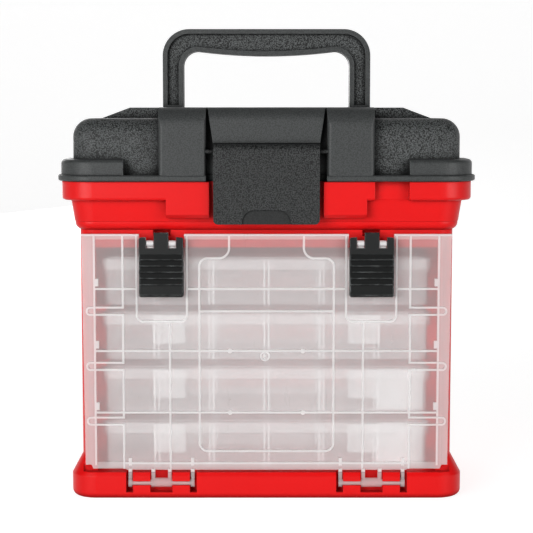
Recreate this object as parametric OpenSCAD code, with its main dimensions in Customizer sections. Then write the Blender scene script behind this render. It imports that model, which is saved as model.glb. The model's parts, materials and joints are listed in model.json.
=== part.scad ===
// Fishing tackle cabinet: a red rack housing that holds four clear utility boxes behind a
// drop-down clear door, a red upper bin on top of it, and a black lid with a carry handle.
// X runs left to right, the front faces -Y and Z is up. The origin is on the ground at the
// middle of the plan, and lengths are in millimetres.

/* [Body] */
// Width of the housing across its side walls
body_w = 242; // [236:1:262]
// Depth of the housing from its front frame to its back wall
body_d = 142; // [138:1:156]
// Plan radius of the housing's upright corners
body_r = 10; // [6:0.5:12]
// Thickness of the moulded walls
wall = 2.5; // [2:0.1:3]
// Height of the rack floor above the ground
floor_z = 17.5; // [17:0.5:20]
// Room above the top utility box
headroom = 14; // [12:0.5:20]
// Thickness of the deck that closes the rack
deck_t = 3; // [2.5:0.1:4]
// Height of the lintel under the deck's front edge, behind the door
lintel_h = 8.5; // [5:0.5:9]

/* [Plinth] */
// How far the plinth stands out past the walls
base_out = 7; // [5:0.5:8]
// Height of the plinth's upright edge
base_h = 15; // [13.5:0.5:16]
// Height at which its flare meets the walls
flare_z = 28; // [24:0.5:34]
// Fillet along the plinth's bottom edge
base_fillet = 4; // [1:0.5:5]

/* [Upper bin] */
// Height of the bin's wall
bin_h = 31.5; // [28:0.5:40]
// How far the bin's wall stands out at its top
bin_out = 6; // [4:0.5:7]
// How far the thick corner pads stand out
pad_out = 11.5; // [10:0.5:12]
// Radius where the bin's wall turns in to the housing
foot_r = 4.5; // [3:0.5:5]
// Height of the corner pads on the bin
pad_h = 12; // [9:0.5:14]
// Distance from the middle to the inner end of a corner pad
pad_x = 91; // [86:1:94]
// Distance from the middle of the depth to the end of a corner pad along the side
pad_run = 42; // [36:1:50]
// Distance from the middle to the outer end of a latch cheek
cheek_x = 64; // [58:1:68]
// The same for the upper step of the right cheek
right_cheek_x = 69; // [68:1:74]
// Height of the latch cheeks below the lid
cheek_h = 23; // [20:0.5:26]

/* [Lid] */
// How far the lid's rim flange stands out
rim_out = 14; // [12.5:0.5:16]
// Thickness of the rim flange
rim_t = 4; // [3:0.5:5]
// Height of the lid's wings above the bin
wing_h = 40; // [36:0.5:46]
// How far the wings stand out past the housing
wing_out = 4; // [2:0.5:6]
// Radius of the rounded top edge of the wings
wing_round = 12; // [6:0.5:14]
// Height of the raised middle above the bin
saddle_h = 47; // [44:0.5:52]
// Half width of the raised middle
saddle_x = 91; // [86:1:96]
// Outer edge of a front pier, from the middle
pier_x = 68.5; // [64:0.5:74]
// Radius of the piers' upright edges
pier_r = 2.5; // [1:0.5:4]
// Height of the lid's corner pads
lid_pad_h = 10; // [8:0.5:14]
// Half width of the latch recess between the piers
recess_x = 38.5; // [36.5:0.5:42]

/* [Handle] */
// Width of the carry handle
handle_w = 141; // [128:1:142]
// Height of the grip's top above the pivot
handle_rise = 61; // [54:1:62]
// Width of a handle arm
arm_w = 14; // [12:0.5:16]
// Height of the grip bar at its ends
grip_h = 15; // [12:0.5:17]
// Thickness of the handle from front to back
handle_t = 15; // [12:0.5:16]
// How far the middle of the grip sags
grip_sag = 3; // [1:0.5:5]
// Depth of the hollow in each face of the handle
web_in = 3; // [1:0.5:5]
// Diameter of the handle pivots
handle_pin_d = 6; // [5:0.5:7]

/* [Main latch] */
// Width of the main latch
latch_w = 67.5; // [58:0.5:70]
// Drop of the latch below its pivot
latch_drop = 46; // [40:1:46]
// Thickness of the latch plate
latch_t = 3; // [2.5:0.1:3.5]
// Radius of the latch's rounded top
latch_r = 5; // [4.5:0.5:5.5]
// Diameter of the latch pivot
latch_pin_d = 2.5; // [2:0.1:3]
// Largest width of the thumb dimple
dimple_w = 31; // [24:1:36]

/* [Lid hinge] */
// Diameter of the hinge knuckles
knuckle_d = 6.4; // [6:0.1:7]
// Diameter of the hinge pins
hinge_pin_d = 2.6; // [2:0.1:3.2]
// Distance of each hinge from the middle
hinge_x = 55; // [45:1:66]
// Length of each hinge
hinge_len = 34; // [28:1:36]

/* [Door] */
// Distance from the door's upright edge to the outside of the housing
door_side = 1.8; // [1.5:0.1:3]
// Thickness of the door sheet
door_t = 2.2; // [1.8:0.1:2.6]
// Height of the raised ribs on the door
rib_h = 1.8; // [1:0.1:2.2]
// Width of the raised ribs
rib_w = 1.3; // [1.1:0.1:2]
// Distance from the door's edge to the upright rib of its side column
column_in = 27.2; // [24:0.2:30]
// Distance from the door's edge to its side band
band_in = 5; // [4:0.2:7]
// Width of the side band
band_w = 3.9; // [3:0.1:5]
// Height of the band along the door's foot
foot_band = 5.2; // [4:0.1:6]
// Height of the band along the door's top
top_band = 3.5; // [3:0.1:4.4]
// Width of the door's middle panel
panel_w = 88; // [78:1:90]
// Width of the panel's neck at the top
neck_w = 49.4; // [40:0.2:56]
// Corner radius of the panel
panel_r = 6; // [4:0.5:8]
// Gap between the door and the front frame
door_gap = 0.4; // [0.3:0.1:0.6]
// Distance from the middle to the middle of a door hinge
door_hinge_x = 68.4; // [64:0.2:74]
// Diameter of the door's hinge pins
door_pin_d = 4; // [3:0.1:4.6]

/* [Door latches] */
// Distance from the middle to the middle of a door latch
door_latch_x = 67.5; // [62:0.5:74]
// Width of a door latch
door_latch_w = 28.5; // [25:0.5:30]
// Length of a door latch below its pivot
door_latch_l = 34.5; // [30:0.5:40]
// Thickness of a door latch
door_latch_t = 4; // [3:0.1:4.2]

/* [Utility boxes] */
// Room beside a utility box, out to the housing's outside
box_side_room = 12.5; // [12:0.5:18]
// Room before and behind a utility box, out to the housing's outside
box_end_room = 6.5; // [6:0.5:9]
// Height of a utility box with its lid
box_h = 31; // [26:0.5:31.5]
// Height from one shelf rail to the next
box_pitch = 36; // [36:0.5:38]
// Wall thickness of a utility box
box_wall = 1.6; // [1.2:0.1:2]
// Height of the lid's skirt
band_h = 8; // [6:0.5:9]
// Plan corner radius of a utility box
box_r = 7; // [5:0.5:9]
// Spacing of the divider slots
slot_pitch = 36; // [30:0.5:36]
// Thickness of a divider
divider_t = 1.3; // [1:0.1:1.6]
// Distance from the middle to the middle of a box latch
box_latch_x = 63.5; // [58:0.5:80]
// Width of a box latch
box_latch_w = 21; // [16:0.5:24]
// Height of a box latch
box_latch_h = 20; // [15:0.5:20]

/* [Fits] */
// Clearance all round a turning pin
pin_fit = 0.2; // [0.15:0.05:0.3]
// Gap between faces that move past each other
run_gap = 0.3; // [0.3:0.05:0.5]

/* [Hidden] */
$fn = 48;
eps = 0.5;
red = [0.86, 0.12, 0.13];
black = [0.2, 0.2, 0.21];
clear = [0.86, 0.85, 0.86, 0.55];
steel = [0.7, 0.7, 0.72];

// Corner centres that all the rounded plans of the case share
cx = body_w / 2 - body_r;
cy = body_d / 2 - body_r;
front_y = -body_d / 2;
base_x = body_r + base_out;
rim_x = body_r + rim_out;
pad_r = body_r + pad_out;
lid_pad_r = rim_x - 2;
wing_x = body_r + wing_out;

// Levels
deck_z = floor_z + 4 * box_pitch + headroom;
bay_top = deck_z - deck_t;
lid_z = deck_z + bin_h;
bin_top = lid_z - run_gap;
rim_z = lid_z + rim_t;
wing_z = lid_z + wing_h;
saddle_z = lid_z + saddle_h;

// Main latch and lid hinge stand this far past the rim, at the front and at the back
proud = 2.5;
latch_y = -(cy + rim_x + proud) + latch_r;
latch_z = lid_z + 19;
latch_plate_y = latch_y - latch_r;
hinge_y = cy + rim_x + proud - knuckle_d / 2;
knuckle_l = 10;
recess_wall_y = -(cy + body_r + bin_out) + 1;
cheek_y = -(cy + pad_r);
catch_x = 18;
catch_z = latch_z - 37;
catch_back = 0.9;

// Handle pocket
pivot_z = saddle_z - 8;
pocket_x = handle_w / 2 + 2;
pocket_front = -handle_t / 2 - 1;
pocket_back = handle_rise + 4;
pocket_z = pivot_z - handle_t / 2 - 1;

// Door
door_back = front_y - door_gap;
door_face = door_back - door_t;
door_w = body_w - 2 * door_side;
door_axis_y = front_y - 4;
door_axis_z = floor_z - 7;
door_foot_z = floor_z + 1.2;
door_top_z = deck_z - 2.5;
door_h = door_top_z - door_foot_z;
door_draft = 1.2;
door_step = 0.8;
door_step_w = 4;
door_corner_z = door_foot_z + 4 * door_step;
hinge_half = 21.5;
bar_w = 2.4;
bar_in = 4.2;
recess_half = hinge_half + 1.5;
tongue_w = 9.3;
door_latch_y = door_face - 4;
door_latch_z = door_top_z - 5.8;
door_latch_top = 4;
pocket_half = door_latch_w / 2 + 2.6;
pocket_foot = door_latch_z - door_latch_l - 17;
door_latch_pin = 2;
ear_w = 4.4;
ear_x = tongue_w / 2 + run_gap + ear_w / 2;
ear_drop = 4.6;
panel_foot = door_foot_z + 11.9;
panel_head = door_top_z - 15;
gate_z = door_foot_z + 75.1;
gate_r = 3.2;
bump_x = 23.6;
column_x = door_w / 2 - column_in;
band_x = door_w / 2 - band_in - band_w;
row_h = 40.4;
row_drop = 3;
seam_drop = 2.4;
seam_half = 2.35;

// Utility boxes, each in its own frame at the middle of its underside
box_w = body_w - 2 * box_side_room;
box_d = body_d - 2 * box_end_room;
tray_w = box_w - 4;
tray_d = box_d - 4;
tray_h = box_h - box_wall - run_gap;
mid_t = 1.4;
slot_gap = divider_t + 2 * run_gap;
divider_h = tray_h - box_wall - 1.2;
bay_half = tray_d / 2 - box_wall;
divider_l = bay_half - mid_t / 2 - 2 * run_gap;
mouth_x = box_w / 2 + 2;
rail_hold = 4.5;
box_latch_t = 2;
box_hinge = [38, 48];
box_hinge_out = 1.6;
box_latch_y = -box_d / 2 - run_gap;

// Quarter of a disc in the first quadrant
module quarter(r) {
    intersection() {
        circle(r);
        square(r);
    }
}

// Half of a wall's section, from the corner centre line out to x, with rounded outer edges
module edge(x, z0, z1, rt = 0, rb = 0) {
    translate([0, z0 + rb]) square([x, z1 - z0 - rt - rb]);
    if (rt > 0) {
        translate([0, z1 - rt]) square([x - rt, rt]);
        translate([x - rt, z1 - rt]) quarter(rt);
    }
    if (rb > 0) {
        translate([0, z0]) square([x - rb, rb]);
        translate([x - rb, z0 + rb]) mirror([0, 1]) quarter(rb);
    }
}

// A closed block on a rounded plan: the section given as child runs round the four corner
// centres at hx and hy, and the middle is filled from z0 to z1
module tub(z0, z1, hx = cx, hy = cy) {
    for (sx = [0, 1], sy = [0, 1])
        mirror([sx, 0, 0]) mirror([0, sy, 0]) translate([hx, hy, 0])
            rotate_extrude(angle = 90) children();
    for (sx = [0, 1])
        mirror([sx, 0, 0]) translate([hx, hy, 0]) rotate([90, 0, 0])
            linear_extrude(2 * hy) children();
    for (sy = [0, 1])
        mirror([0, sy, 0]) translate([-hx, hy, 0]) rotate([90, 0, 90])
            linear_extrude(2 * hx) children();
    translate([-hx, -hy, z0]) cube([2 * hx, 2 * hy, z1 - z0]);
}

// Rounded rectangle
module plan(w, d, r) {
    square([w - 2 * r, d], center = true);
    square([w, d - 2 * r], center = true);
    for (sx = [-1, 1], sy = [-1, 1])
        translate([sx * (w / 2 - r), sy * (d / 2 - r)]) circle(r);
}

// Box between two corners
module block(a, b) {
    translate(a) cube(b - a);
}

// The child on both sides of the middle plane
module both_sides() {
    children();
    mirror([1, 0, 0]) children();
}

// Bar along X between two places
module bar_x(x0, x1, y, z, d) {
    translate([x0, y, z]) rotate([0, 90, 0]) cylinder(d = d, h = x1 - x0);
}

// Flat shape drawn as seen from the front, standing between two depths
module upright(y_back, y_front) {
    translate([0, y_back, 0]) rotate([90, 0, 0]) linear_extrude(y_back - y_front) children();
}

// Section of the housing: plinth with a rounded foot, flare and straight wall
module housing_section() {
    edge(base_x, 0, base_h, 0, base_fillet);
    polygon([[0, base_h], [base_x, base_h], [body_r, flare_z], [body_r, deck_z], [0, deck_z]]);
}

// Hollow under the rack floor, with cross ribs that reach the ground and solid hinge seats
module underside() {
    rib = 3;
    rib_pitch = 42;
    difference() {
        tub(-eps, base_h) translate([0, -eps]) square([base_x - wall, base_h + eps]);
        both_sides() for (x = [0 : rib_pitch : body_w / 2])
            block([x - rib / 2, -body_d, -1], [x + rib / 2, body_d, base_h]);
        for (y = [-34, 0, 34]) block([-body_w, y - rib / 2, -1], [body_w, y + rib / 2, base_h]);
        both_sides() translate([door_hinge_x - recess_half - wall, 0, 0])
            block([0, -body_d, -1], [2 * (recess_half + wall), front_y + wall, base_h]);
    }
}

// Seat of one door hinge, cut into the plinth: a slot for each bar, the opening for the middle
// pin and the channels that the outer pins snap into through a narrower mouth
module hinge_seat() {
    low = door_axis_z - 6;
    play = 2 * run_gap;
    mid = bar_in + bar_w + play;
    block([-mid, -body_d, low], [mid, front_y, floor_z + 1]);
    for (s = [0, 1]) mirror([s, 0, 0])
        block([hinge_half - bar_w - play, -body_d, low], [recess_half, front_y, floor_z + 1]);
    bar_x(-hinge_half, hinge_half, door_axis_y, door_axis_z, door_pin_d + 2 * pin_fit);
    block([-hinge_half, -body_d, door_axis_z - door_pin_d / 3],
        [hinge_half, door_axis_y, door_axis_z + door_pin_d / 3]);
}

// Lower red moulding: plinth, side and back walls, shelf rails, deck and lintel
module rack_housing() {
    jamb_t = 5;
    rail_t = 2.5;
    guide_ys = [-22, 38];
    rear = body_d / 2 - wall;
    side = body_w / 2 - wall;
    panel_in = 0.8;
    color(red) {
        difference() {
            tub(0, deck_z) housing_section();
            underside();
            translate([0, (rear + front_y + jamb_t) / 2, 0])
                slab(2 * side, rear - front_y - jamb_t, body_r - wall, floor_z, bay_top);
            block([-mouth_x, -body_d, floor_z], [mouth_x, front_y + 2 * jamb_t, bay_top - lintel_h]);
            block([-door_w / 2 - run_gap, -body_d, floor_z],
                [door_w / 2 + run_gap, front_y, deck_z - 1]);
            both_sides() {
                translate([door_hinge_x, 0, 0]) hinge_seat();
                translate([door_latch_x, 0, 0]) block([-tongue_w / 2 - 1, front_y - 1, bay_top - 1],
                    [tongue_w / 2 + 1, front_y + 9, deck_z + 1]);
                translate([body_w / 2 - panel_in, 0, (flare_z + deck_z) / 2]) rotate([90, 0, 90])
                    linear_extrude(wall) plan(body_d - 36, deck_z - flare_z - 24, 8);
            }
            translate([0, body_d / 2 + 1, (flare_z + deck_z) / 2]) rotate([90, 0, 0])
                linear_extrude(1 + panel_in) plan(body_w - 40, deck_z - flare_z - 24, 8);
        }
        intersection() {
            slab(body_w - wall, body_d, body_r - wall / 2, floor_z - eps, bay_top + eps);
            both_sides() {
                for (k = [1 : 3]) translate([0, 0, floor_z + k * box_pitch])
                    block([box_w / 2 - rail_hold, front_y, -rail_t], [side + eps, rear + eps, 0]);
                for (y = guide_ys) block([box_w / 2 + 2 * run_gap, y, floor_z - eps],
                    [side + eps, y + wall, bay_top + eps]);
                block([body_w / 4, box_d / 2 + 2 * run_gap, floor_z - eps],
                    [body_w / 4 + wall, rear + eps, bay_top + eps]);
            }
        }
    }
}

// Section of the bin's wall, drafted, with a radius where it meets the housing
module bin_section(inset, z0, z1) {
    x0 = body_r - inset;
    foot_out = bin_out * 0.45;
    intersection() {
        polygon([[0, z0], [x0 + foot_out, z0], [x0 + bin_out * 0.95, z1 - pad_h],
            [x0 + bin_out, z1 - pad_h + 1], [x0 + bin_out, z1], [0, z1]]);
        union() {
            edge(x0 + foot_out + 0.5, z0, z0 + 2 * foot_r, 0, foot_r);
            translate([0, z0 + foot_r + 1]) square([x0 + bin_out, z1 - z0]);
        }
    }
}

// Half of the bin's front: corner pad and latch cheek, the pad reaching in to pad_end
module front_pad(pad_end, cheek_out) {
    intersection() {
        tub(bin_top - pad_h, bin_top) edge(pad_r, bin_top - pad_h, bin_top, 0, 2);
        union() {
            block([pad_end, -body_d, 0], [body_w, -pad_run, lid_z]);
            block([recess_x - 2, -body_d, 0], [cheek_out, -cy, lid_z]);
        }
    }
    difference() {
        block([recess_x - 2, cheek_y, bin_top - cheek_h], [cheek_x, -cy, bin_top - 3]);
        translate([0, cheek_y, bin_top - cheek_h]) rotate([45, 0, 0])
            cube([body_w, 3, 3], center = true);
    }
}

// Upper red moulding: the storage bin under the lid
module upper_bin() {
    hollow_z = deck_z + wall;
    color(red) difference() {
        union() {
            tub(deck_z, bin_top) bin_section(0, deck_z, bin_top);
            front_pad(pad_x, right_cheek_x);
            mirror([1, 0, 0]) front_pad(cheek_x - 1, cheek_x);
            both_sides() intersection() {
                tub(bin_top - pad_h, bin_top) edge(pad_r, bin_top - pad_h, bin_top, 0, 2);
                block([pad_x, pad_run, 0], [body_w, body_d, lid_z]);
            }
            both_sides() for (s = [-1, 1]) translate([hinge_x, 0, 0]) {
                x = s * (hinge_len / 2 - knuckle_l / 2) - knuckle_l / 2;
                bar_x(x, x + knuckle_l, hinge_y, lid_z, knuckle_d);
                block([x, cy + body_r, lid_z - knuckle_d / 2], [x + knuckle_l, hinge_y, bin_top]);
            }
            block([-catch_x, cheek_y + catch_back, catch_z],
                [catch_x, recess_wall_y + 1, catch_z + 2.5]);
        }
        tub(hollow_z, lid_z + 1) {
            bin_section(wall, hollow_z, bin_top);
            translate([0, bin_top - 1]) square([body_r - wall + bin_out, 3]);
        }
        both_sides() bar_x(hinge_x - hinge_len, hinge_x + hinge_len, hinge_y, lid_z, hinge_pin_d);
    }
}

// Steel pins of the lid's two hinges
module lid_hinge_pins() {
    color(steel) both_sides()
        bar_x(hinge_x - hinge_len / 2, hinge_x + hinge_len / 2, hinge_y, lid_z, hinge_pin_d);
}

// Outside of a front pier, a post with round front edges whose top rolls back into the lid
module pier(x0, x1, y_front, z0, roll) {
    intersection() {
        translate([x0, 0, 0]) rotate([90, 0, 90]) linear_extrude(x1 - x0)
            mirror([1, 0]) edge(y_front, z0, saddle_z, roll, 0);
        translate([(x0 + x1) / 2, 0, 0]) slab(x1 - x0, 2 * y_front, pier_r, z0, saddle_z);
    }
}

// Slanted gap between the centre plate and a pier, down to the face of the wings
module plate_gap(z0) {
    upright(-cy - wing_x, -body_d) polygon([[recess_x - 4.6, z0], [recess_x, z0],
        [recess_x, saddle_z + 1], [recess_x - 0.9, saddle_z + 1]]);
}

// Raised middle of the lid with a ramp on each side, cut short by the wall for the inside
module saddle(inset, z0) {
    ramp = 20;
    x = saddle_x - inset;
    top = saddle_z - inset;
    translate([0, cy + wing_x - 4 - inset, 0]) rotate([90, 0, 0])
        linear_extrude(cy + wing_x + 26 - 2 * inset)
        polygon([[-x - ramp, z0], [-x - ramp, wing_z - 0.5 - inset], [-x, top], [x, top],
            [x + ramp, wing_z - 0.5 - inset], [x + ramp, z0]]);
}

// Black lid with a rim flange, corner pads, wings, piers, raised middle and handle pocket
module lid_shell() {
    front = cy + rim_x - 0.5;
    plate_front = front - 4;
    recess_top = latch_z + latch_r + run_gap;
    side_x = recess_x + wall;
    color(black) difference() {
        union() {
            tub(lid_z, rim_z) edge(rim_x, lid_z, rim_z, 1.2, 1.2);
            intersection() {
                tub(lid_z + 1, rim_z + lid_pad_h) edge(lid_pad_r, lid_z + 1, rim_z + lid_pad_h, 3, 0);
                both_sides() for (s = [0, 1]) mirror([0, s, 0])
                    block([pad_x, pad_run, 0], [body_w, body_d, saddle_z]);
            }
            difference() {
                union() {
                    tub(lid_z + 1, wing_z) edge(wing_x, lid_z + 1, wing_z, wing_round, 0);
                    saddle(0, rim_z);
                    both_sides() pier(recess_x, pier_x, front, lid_z + 1, 12);
                    pier(-recess_x - 1, recess_x + 1, plate_front, recess_top, 9);
                    block([-pier_x, -cy, rim_z], [pier_x, 0, saddle_z]);
                }
                difference() {
                    union() {
                        tub(lid_z - 1, wing_z - wall)
                            edge(wing_x - wall, lid_z - 1, wing_z - wall, wing_round - wall, 0);
                        saddle(wall, lid_z);
                        both_sides() block([side_x, -front + wall, lid_z - 1],
                            [pier_x - wall, -cy, saddle_z - 12]);
                        block([-pier_x + wall, -cy - wing_x + wall, wing_z - 14],
                            [pier_x - wall, 0, saddle_z - wall]);
                    }
                    block([-pocket_x - wall, pocket_front - wall, pocket_z - wall],
                        [pocket_x + wall, pocket_back + wall, saddle_z]);
                }
            }
            both_sides() translate([hinge_x, 0, 0]) {
                half = hinge_len / 2 - knuckle_l - run_gap;
                bar_x(-half, half, hinge_y, lid_z, knuckle_d);
                block([-half, cy + body_r, lid_z], [half, hinge_y, lid_z + knuckle_d / 2]);
            }
        }
        tub(lid_z - 1, rim_z + lid_pad_h + 1)
            translate([0, lid_z - 1]) square([wing_x - wall, rim_t + lid_pad_h + 2]);
        block([-pocket_x, pocket_front, pocket_z], [pocket_x, pocket_back, saddle_z + 1]);
        block([-recess_x, -body_d, lid_z - 1], [recess_x, recess_wall_y, recess_top]);
        both_sides() plate_gap(recess_top - 1);
        both_sides() translate([hinge_x, 0, 0]) {
            for (s = [-1, 1]) {
                x = s * (hinge_len / 2 - knuckle_l / 2) - knuckle_l / 2;
                block([x - run_gap, hinge_y - knuckle_d / 2 - run_gap, lid_z - 1],
                    [x + knuckle_l + run_gap, body_d, lid_z + knuckle_d / 2 + run_gap]);
            }
            bar_x(-hinge_len, hinge_len, hinge_y, lid_z, hinge_pin_d + 2 * pin_fit);
        }
        both_sides() bar_x(pocket_x - 1, pocket_x + 2 * wall, 0, pivot_z, handle_pin_d);
        bar_x(-side_x - 3, side_x + 3, latch_y, latch_z, latch_pin_d);
    }
}

// Pivots that carry the handle between the pocket's side walls
module handle_pivots() {
    color(black) both_sides()
        bar_x(handle_w / 2 - arm_w + 4, pocket_x + wall, 0, pivot_z, handle_pin_d);
}

// Front view of the handle, drawn in by inset on every edge; the grip sags on a long arc
module handle_outline(inset) {
    outer_r = 18;
    inner_r = 10;
    corner_x = handle_w / 2 - outer_r;
    open_x = handle_w / 2 - arm_w - inner_r;
    open_z = handle_rise - grip_h - inner_r;
    sag_r = (open_x * open_x + grip_sag * grip_sag) / (2 * grip_sag);
    difference() {
        union() {
            translate([-handle_w / 2 + inset, 0])
                square([handle_w - 2 * inset, handle_rise - outer_r]);
            translate([-corner_x, 0]) square([2 * corner_x, handle_rise - inset]);
            for (s = [-1, 1]) {
                translate([s * corner_x, handle_rise - outer_r]) circle(outer_r - inset);
                translate([s * (handle_w - arm_w) / 2, 0]) circle(arm_w / 2 - inset);
            }
        }
        difference() {
            union() {
                translate([-open_x - inner_r - inset, -arm_w])
                    square([2 * (open_x + inner_r + inset), arm_w + open_z]);
                translate([-open_x, 0]) square([2 * open_x, open_z + inner_r + inset]);
                for (s = [-1, 1]) translate([s * open_x, open_z]) circle(inner_r + inset);
            }
            translate([0, open_z + inner_r - grip_sag + sag_r]) circle(sag_r - inset, $fn = 240);
        }
    }
}

// Carry handle with an I section: raised edges round a hollow on each face
module carry_handle() {
    half_t = handle_t / 2;
    edge_w = 3.2;
    color(black) translate([0, 0, pivot_z]) difference() {
        intersection() {
            upright(half_t, -half_t) handle_outline(0);
            union() {
                block([-handle_w, -handle_t, 0], [handle_w, handle_t, handle_rise]);
                bar_x(-handle_w, handle_w, 0, 0, handle_t);
            }
        }
        for (s = [0, 1]) mirror([0, s, 0]) intersection() {
            upright(-half_t + web_in, -half_t - 1) handle_outline(edge_w);
            block([-handle_w, -handle_t, arm_w * 0.7], [handle_w, handle_t, handle_rise]);
        }
        both_sides() bar_x(handle_w / 2 - arm_w + 4 - run_gap, handle_w, 0, 0,
            handle_pin_d + 2 * pin_fit);
    }
}

// Pivot rod of the main latch, seated in the two piers
module lid_latch_pin() {
    x = recess_x + wall;
    color(black) bar_x(-x, x, latch_y, latch_z, latch_pin_d);
}

// Main latch: rounded top on its pivot, plate with a thumb dimple, side flanges and hook
module lid_latch() {
    x = latch_w / 2;
    foot_z = latch_z - latch_drop;
    flange = 2;
    dimple_h = 9;
    color(black) difference() {
        union() {
            bar_x(-x, x, latch_y, latch_z, 2 * latch_r);
            upright(latch_plate_y + latch_t, latch_plate_y) {
                translate([-x, foot_z + 4]) square([latch_w, latch_drop - 4]);
                translate([0, foot_z + 4]) plan(latch_w, 8, 3);
            }
            both_sides() block([x - flange, latch_plate_y + eps, foot_z + 5],
                [x, cheek_y - run_gap, latch_z]);
            block([-catch_x, latch_plate_y + eps, catch_z - run_gap - 2.4],
                [catch_x, cheek_y - run_gap, catch_z - run_gap]);
        }
        bar_x(-latch_w, latch_w, latch_y, latch_z, latch_pin_d + 2 * pin_fit);
        upright(latch_plate_y + 1.2, latch_plate_y - 1)
            translate([0, foot_z]) plan(dimple_w, 2 * dimple_h, 8);
    }
}

// Outline of the door sheet, slightly narrower at the foot, with stepped lower corners
module door_outline() {
    top_x = door_w / 2;
    foot_x = top_x - door_draft;
    step_x = foot_x - door_step_w;
    step_z = door_foot_z + door_step;
    polygon([[-top_x, door_top_z], [top_x, door_top_z], [foot_x, door_corner_z],
        [step_x, door_corner_z], [step_x - 1, step_z], [column_x, step_z],
        [column_x - 1, door_foot_z], [1 - column_x, door_foot_z], [-column_x, step_z],
        [1 - step_x, step_z], [-step_x, door_corner_z], [-foot_x, door_corner_z]]);
}

// Upright rounded frame, rib_w wide, between two corners
module rib_frame(a, b, r) {
    mid = (a + b) / 2;
    size = b - a;
    translate(mid) difference() {
        plan(size[0], size[1], r);
        plan(size[0] - 2 * rib_w, size[1] - 2 * rib_w, r - rib_w);
    }
}

// Middle panel of the door: a wide window with a narrower neck that flares up from it
module centre_panel(inset) {
    neck = neck_w / 2 - inset;
    foot = panel_foot + inset;
    head = panel_head - inset;
    translate([0, (foot + head) / 2]) plan(panel_w - 2 * inset, head - foot, panel_r - inset);
    translate([-neck, head - 10]) square([2 * neck, door_top_z - head + 10]);
    for (s = [0, 1]) mirror([s, 0]) difference() {
        translate([neck - 1, head - 1]) square(panel_r + inset + 1);
        translate([neck + panel_r + inset, head + panel_r + inset]) circle(panel_r + inset);
    }
}

// Side column of the door: an upright rib whose breaks between the rows run out into round loops
module door_column() {
    seams = [for (k = [1 : 3]) floor_z + k * box_pitch - seam_drop];
    loop_out = door_w / 2 - band_in / 2;
    loop_h = seam_half + rib_w / 2;
    difference() {
        translate([column_x, door_foot_z]) square([rib_w, door_h]);
        for (z = seams) translate([column_x - 1, z - seam_half]) square([rib_w + 2, 2 * seam_half]);
    }
    for (z = seams) intersection() {
        rib_frame([column_x - loop_h, z - loop_h], [loop_out, z + loop_h], loop_h - 0.1);
        translate([column_x, 0]) square([column_in, lid_z]);
    }
}

// Full-height ribs of the door as seen from the front
module door_ribs() {
    rows = [for (k = [1 : 3]) door_foot_z + k * row_h - row_drop];
    post_x = door_hinge_x - bar_in - bar_w;
    difference() {
        centre_panel(0);
        centre_panel(rib_w);
    }
    translate([-panel_w / 2, floor_z + 3 * box_pitch - seam_drop - rib_w / 2])
        square([panel_w, rib_w]);
    difference() {
        for (z = rows) translate([-band_x, z]) square([2 * band_x, rib_w]);
        both_sides() translate([door_latch_x - pocket_half, pocket_foot])
            square([2 * pocket_half, door_h]);
    }
    both_sides() {
        door_column();
        translate([band_x, door_corner_z]) square([rib_w, door_h]);
        for (z = rows) translate([band_x - 2, z + rib_w + 1]) square([2.5, 5]);
        translate([post_x, door_foot_z]) square([rib_w, pocket_foot - door_foot_z]);
        difference() {
            rib_frame([door_latch_x - pocket_half, pocket_foot],
                [door_latch_x + pocket_half, door_top_z + 12], 5);
            translate([0, door_top_z]) square([door_w, 20]);
        }
        for (z = [rows[0], rows[1]]) translate([bump_x, z + rib_w / 2]) circle(1.5);
        for (s = [-1, 1]) translate([door_hinge_x + s * (hinge_half - bar_w / 2) - 1, door_foot_z + 3])
            square([2, 5]);
    }
    translate([-column_x, door_foot_z + foot_band - rib_w]) square([2 * column_x, rib_w]);
    translate([-door_w / 2, door_top_z - rib_w]) square([door_w, rib_w]);
    translate([-1, gate_z]) difference() {
        circle(gate_r);
        circle(gate_r - 1);
    }
}

// Low bands of the door along its top, its foot and up its sides
module door_bands() {
    translate([-band_x - band_w, door_foot_z]) square([2 * (band_x + band_w), foot_band]);
    translate([-door_w / 2, door_top_z - top_band]) square([door_w, top_band]);
    both_sides() translate([band_x, door_foot_z]) square([band_w, door_h]);
}

// One hinge of the door: four bars with pins between the outer pairs and a thick middle bar
module door_hinge() {
    for (s = [0, 1]) mirror([s, 0, 0]) {
        for (x = [bar_in, hinge_half - bar_w]) {
            block([x, door_axis_y - 1.2, door_axis_z], [x + bar_w, door_back, door_foot_z + 1]);
            bar_x(x, x + bar_w, door_axis_y, door_axis_z, door_pin_d + 2);
        }
        bar_x(bar_in, hinge_half, door_axis_y, door_axis_z, door_pin_d);
    }
    bar_x(-bar_in - 1, bar_in + 1, door_axis_y, door_axis_z, door_pin_d + 2);
}

// Ear of the door that holds a latch pin, inside one of the latch's notches
module latch_ear(x) {
    bar_x(x - ear_w / 2, x + ear_w / 2, 0, 0, door_latch_t);
    block([x - ear_w / 2, 0.2, -ear_drop - 2], [x + ear_w / 2, door_back - door_latch_y, 1]);
}

// Clear front door, ribbed, with ears for its latches at the top and hinges at the foot
module door_panel() {
    notch = door_latch_w / 2 + run_gap;
    band_t = 0.8;
    color(clear) {
        difference() {
            union() {
                upright(door_back, door_face) door_outline();
                upright(door_face + eps, door_face - rib_h) intersection() {
                    door_outline();
                    door_ribs();
                }
                upright(door_face + eps, door_face - band_t) intersection() {
                    door_outline();
                    door_bands();
                }
            }
            both_sides() translate([door_latch_x, 0, 0])
                block([-notch, -body_d, door_latch_z - ear_drop], [notch, 0, deck_z]);
        }
        both_sides() {
            translate([door_hinge_x, 0, 0]) door_hinge();
            translate([door_latch_x, door_latch_y, door_latch_z]) difference() {
                for (s = [-1, 1]) latch_ear(s * ear_x);
                bar_x(-door_latch_w, door_latch_w, 0, 0, door_latch_pin);
            }
        }
    }
}

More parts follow.
